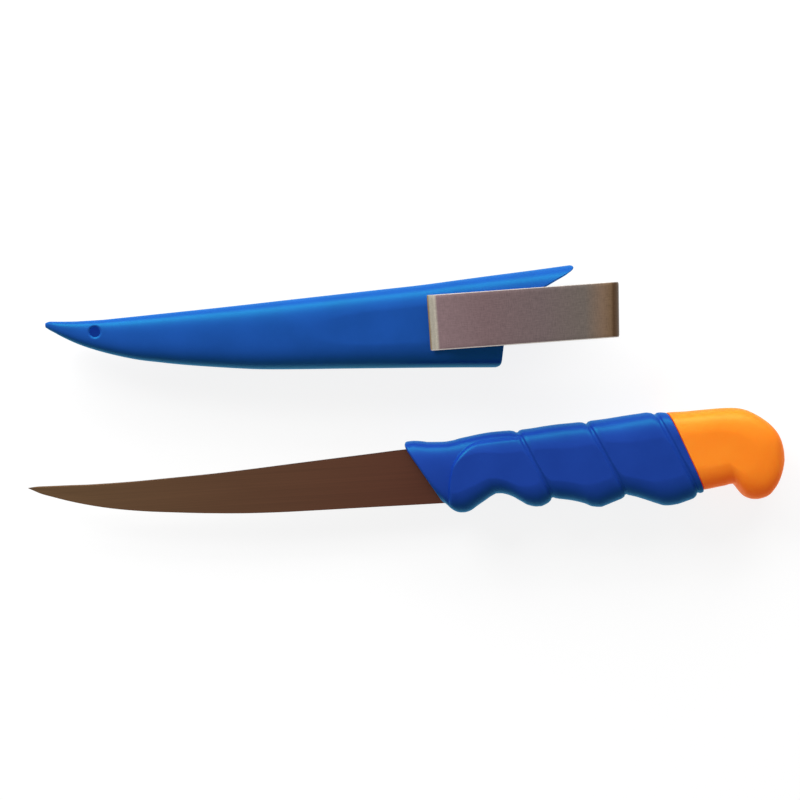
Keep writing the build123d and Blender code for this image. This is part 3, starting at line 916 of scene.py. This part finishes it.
blade_steel, tree, shader = new_material(
    "ground blade steel", Metallic=0.85, Roughness=0.34, Anisotropic=0.3)
ground = add_group(tree, lines)
place = add_node(tree, "ShaderNodeTexCoord")
tree.links.new(place.outputs["Object"], ground.inputs["Place"])
split_place = add_node(tree, "ShaderNodeSeparateXYZ")
tree.links.new(place.outputs["Object"], split_place.inputs[0])
# Painted reflection: the brown base colour, greener at the tip and redder at the grip, stands in for brown
# surroundings seen in the steel
along = map_range(tree, split_place.outputs["X"], 0.0, 1.0, -0.14, 0.014)
base = two_colours(tree, along, colour(93, 70, 47), colour(82, 46, 34), 0.0, 1.0)
streak_over(tree, shader, base, ground.outputs["Along"], ((0.75, 0.75, 0.75, 1), (1.15, 1.12, 1.1, 1)),
            0.35, roughness=(0.28, 0.42), relief=(0.2, 0.00001))
print("finish", blade_steel.name)

# %% [markdown]
# ## Clip steel
# The strip's colour changes along its length: a pale painted highlight on the flared lip, mauve and
# grey on the flat, tan and brown round the bend, with painted shade at the bend's outside. The mesh carries
# each point's place on the straight strip, so the colours follow the steel round its fold. Its two
# long edges are painted bright, partly as wear and partly as a painted highlight.

# %% Clip steel, tinted along the strip
clip_steel, tree, shader = new_material("brushed clip steel", Metallic=0.85, Roughness=0.42)
place = add_node(tree, "ShaderNodeAttribute", attribute_name="strip_place")
brushed = add_group(tree, lines, Stretch=(420.0, 2800.0, 2800.0), Cross_Stretch=(2800.0, 420.0, 2800.0))
tree.links.new(place.outputs["Vector"], brushed.inputs["Place"])
split_place = add_node(tree, "ShaderNodeSeparateXYZ")
tree.links.new(place.outputs["Vector"], split_place.inputs[0])
along = map_range(tree, split_place.outputs["X"], 0.0, 1.0, -0.0665, 0.0032)
tint = add_node(tree, "ShaderNodeValToRGB")
# Painted light in these stops: the pale band from 0.015 to 0.04 is a painted highlight on the flared lip,
# and the dark stop at 0.968 is painted shade on the bend
stops = [
    (0.0, (140, 112, 74)), (0.009, (148, 120, 82)), (0.015, (186, 182, 166)), (0.04, (184, 178, 163)),
    (0.055, (124, 103, 106)), (0.3, (112, 92, 94)), (0.6, (104, 90, 90)), (0.82, (101, 92, 86)),
    (0.91, (116, 95, 78)), (0.955, (106, 84, 62)), (0.968, (80, 58, 38)), (0.985, (90, 71, 54)),
    (1.0, (106, 92, 78)),
]
for at, shade in stops[1:-1]:
    tint.color_ramp.elements.new(at)
for element, (at, shade) in zip(tint.color_ramp.elements, stops):
    element.position = at
    element.color = colour(*shade)
tree.links.new(along, tint.inputs["Fac"])
weave = add_node(tree, "ShaderNodeMath", operation="ADD")
tree.links.new(brushed.outputs["Along"], weave.inputs[0])
tree.links.new(brushed.outputs["Across"], weave.inputs[1])
half_weave = add_node(tree, "ShaderNodeMath", operation="MULTIPLY")
half_weave.inputs[1].default_value = 0.5
tree.links.new(weave.outputs[0], half_weave.inputs[0])
# Both long edges are painted lighter: partly wear, partly a painted highlight of light grazing the rounded
# edges
off_middle = add_node(tree, "ShaderNodeMath", operation="ABSOLUTE")
tree.links.new(split_place.outputs["Y"], off_middle.inputs[0])
edge_wear_and_highlight = add_node(tree, "ShaderNodeMix", data_type="RGBA")
edge_wear_and_highlight.inputs["B"].default_value = colour(215, 208, 200)
tree.links.new(map_range(tree, off_middle.outputs[0], 0.0, 0.85, 0.0097, 0.00995), edge_wear_and_highlight.inputs["Factor"])
tree.links.new(tint.outputs["Color"], edge_wear_and_highlight.inputs["A"])
streak_over(tree, shader, edge_wear_and_highlight.outputs["Result"], half_weave.outputs[0],
            ((0.62, 0.62, 0.62, 1), (1.28, 1.26, 1.24, 1)),
            0.55, roughness=(0.36, 0.5), relief=(0.25, 0.00002))
print("finish", clip_steel.name, "with", len(stops), "colour stops")


# %% [markdown]
# ## Rivet metal and foam
# Cast rivets and closed-cell foam are both speckled, so one helper makes them from the moulded grain,
# with other sizes and depths. The foam core is hidden in the grip but still needs a finish.

# %% Rivet metal and foam
def speckled(name, low, high, grain_scale, relief, **settings):
    """Make a plain finish whose speckle changes its colour and whose grain gives its bump."""
    material, tree, shader = new_material(name, **settings)
    surface = add_group(tree, grain, Grain_Scale=grain_scale)
    tree.links.new(two_colours(tree, surface.outputs["Speckle"], low, high), shader.inputs["Base Color"])
    bump(tree, shader, surface.outputs["Height"], *relief)
    return material


rivet_metal = speckled("rivet metal", colour(150, 150, 150), colour(185, 185, 183), 1500.0,
                       (0.3, 0.00002), Metallic=0.95, Roughness=0.4)
foam = speckled("closed-cell foam", colour(225, 222, 210), colour(240, 238, 230), 900.0,
                (0.6, 0.0001), Roughness=0.9)
print("finishes", rivet_metal.name, "and", foam.name)


# %% [markdown]
# ## Put each finish on its piece
# Most pieces have one finish. The two halves of the sheath have two, since faces that look into the
# hollow get the plastic with the painted glow. A face is inner if it turns to the middle and lies below the
# outer wall.

# %% Finishes on pieces
def is_inner(polygon):
    """Tell whether a face of the sheath looks into its hollow."""
    x, y, z = np.array(polygon.center) * 1000 - sheath_shift
    middle = (float(sheath_low(x)) + float(sheath_top(x))) / 2
    inward = np.array([0, middle - y, -z])
    half_here = (sheath_half + crown) * float(sheath_thick(x)) - wall * 0.6
    return polygon.normal.dot(Vector(inward)) > 0 and abs(z) < half_here and 0.2 < abs(z)


finish_of = (
    (grip, blue_grip), (cap, orange_cap), (sheath_front, blue_sheath), (sheath_back, blue_sheath),
    (blade, blade_steel), (clip, clip_steel), (rivets, rivet_metal),
)
for piece, material in finish_of:
    piece.data.materials.clear()
    piece.data.materials.append(material)
for half in (sheath_front, sheath_back):
    half.data.materials.append(blue_inside)
    for polygon in half.data.polygons:
        polygon.material_index = int(is_inner(polygon))
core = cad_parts["float_core"]
for slot in core.material_slots:
    slot.material = foam
print("finishes", [m.name for m in bpy.data.materials])

# %% [markdown]
# ## Floor and sky
# A plain pale floor under an even sky. Both look white to the eye and in mirrors, but give the object
# only a plain level of light, so the nodes ask which kind of ray is looking. The floor still darkens
# softly where the object shades it.

# %% Rays that the eye sees by
def seen_rays(tree):
    """Add nodes that are 1 for the rays that the eye, metal and glass see by, and 0 for light."""
    rays = add_node(tree, "ShaderNodeLightPath")
    first = add_node(tree, "ShaderNodeMath", operation="MAXIMUM")
    second = add_node(tree, "ShaderNodeMath", operation="MAXIMUM")
    tree.links.new(rays.outputs["Is Camera Ray"], first.inputs[0])
    tree.links.new(rays.outputs["Is Glossy Ray"], first.inputs[1])
    tree.links.new(first.outputs[0], second.inputs[0])
    tree.links.new(rays.outputs["Is Transmission Ray"], second.inputs[1])
    return second.outputs[0]


# %% Floor
floor_mesh = bpy.data.meshes.new("floor")
floor_half, floor_z = 3, -0.0002
corners = [(x * floor_half, y * floor_half, floor_z) for x, y in ((-1, -1), (1, -1), (1, 1), (-1, 1))]
floor_mesh.from_pydata(corners, [], [(0, 1, 2, 3)])
floor = bpy.data.objects.new("floor", floor_mesh)
bpy.context.scene.collection.objects.link(floor)
floor_material = bpy.data.materials.new("pale floor")
floor_material.use_nodes = True
tree = floor_material.node_tree
tree.nodes.clear()
matt = add_node(tree, "ShaderNodeBsdfDiffuse", Color=(0.55, 0.55, 0.55, 1))
seen = add_node(tree, "ShaderNodeBsdfDiffuse", Color=(0.2, 0.2, 0.2, 1))
glow = add_node(tree, "ShaderNodeEmission", Color=(1, 1, 1, 1), Strength=0.86)
glowing = add_node(tree, "ShaderNodeAddShader")
choice = add_node(tree, "ShaderNodeMixShader")
shown = add_node(tree, "ShaderNodeOutputMaterial")
tree.links.new(seen.outputs[0], glowing.inputs[0])
tree.links.new(glow.outputs[0], glowing.inputs[1])
tree.links.new(seen_rays(tree), choice.inputs[0])
tree.links.new(matt.outputs[0], choice.inputs[1])
tree.links.new(glowing.outputs[0], choice.inputs[2])
tree.links.new(choice.outputs[0], shown.inputs[0])
floor_mesh.materials.append(floor_material)
print("floor", 2 * floor_half, "m wide")

# %% Sky
world = bpy.data.worlds.new("studio")
bpy.context.scene.world = world
world.use_nodes = True
sky = world.node_tree
background = sky.nodes["Background"]
level = add_node(sky, "ShaderNodeMapRange")
level.inputs["To Min"].default_value = 0.17
level.inputs["To Max"].default_value = 1.0
sky.links.new(seen_rays(sky), level.inputs["Value"])
sky.links.new(level.outputs["Result"], background.inputs["Strength"])
background.inputs["Color"].default_value = (1, 1, 1, 1)
print("sky lights at", level.inputs["To Min"].default_value)


# %% [markdown]
# ## Lamps
# Two soft lamps light the object. One hangs to the upper left and makes the main light and the short
# shadows to the lower right. The other is wide, low and far, and draws the light bands along the upper
# edges of the mouldings.

# %% Lamps
def soft_lamp(name, place, width, height, power):
    """Hang a soft rectangular lamp that points at the middle of the frame."""
    lamp = bpy.data.lights.new(name, "AREA")
    lamp.shape = "RECTANGLE"
    lamp.size, lamp.size_y = width, height
    lamp.energy = power
    holder = bpy.data.objects.new(name, lamp)
    holder.location = place
    holder.rotation_euler = (Vector((0, 0, 0)) - Vector(place)).to_track_quat("-Z", "Y").to_euler()
    bpy.context.scene.collection.objects.link(holder)
    print(name, power, "W")


soft_lamp("upper left soft light", (-0.62, 0.78, 0.75), 0.6, 0.4, 9.0)
soft_lamp("far low light", (0.0, 0.95, 0.4), 1.4, 0.5, 16.0)

# %% [markdown]
# ## Camera
# The camera looks straight down through a long lens, so that the outlines are hardly bent by
# perspective. It is rolled a little, because the knife lies slightly aslant in the picture.

# %% Camera
view_width, view_distance = 296, 900
middle_x, middle_y, camera_height, roll = 139.25, 23.95, 0.9115, -3.5
camera_data = bpy.data.cameras.new("camera")
camera_data.sensor_width = 36
camera_data.lens = 36 * view_distance / view_width
camera_data.clip_start = 0.05
camera = bpy.data.objects.new("camera", camera_data)
camera.location = ((tip_x + middle_x) / 1000, (draw_y + middle_y) / 1000, camera_height)
camera.rotation_euler = (0, 0, radians(roll))
bpy.context.scene.collection.objects.link(camera)
bpy.context.scene.camera = camera
bpy.context.scene.view_settings.view_transform = "Standard"
print("lens", round(camera_data.lens, 1), "mm")
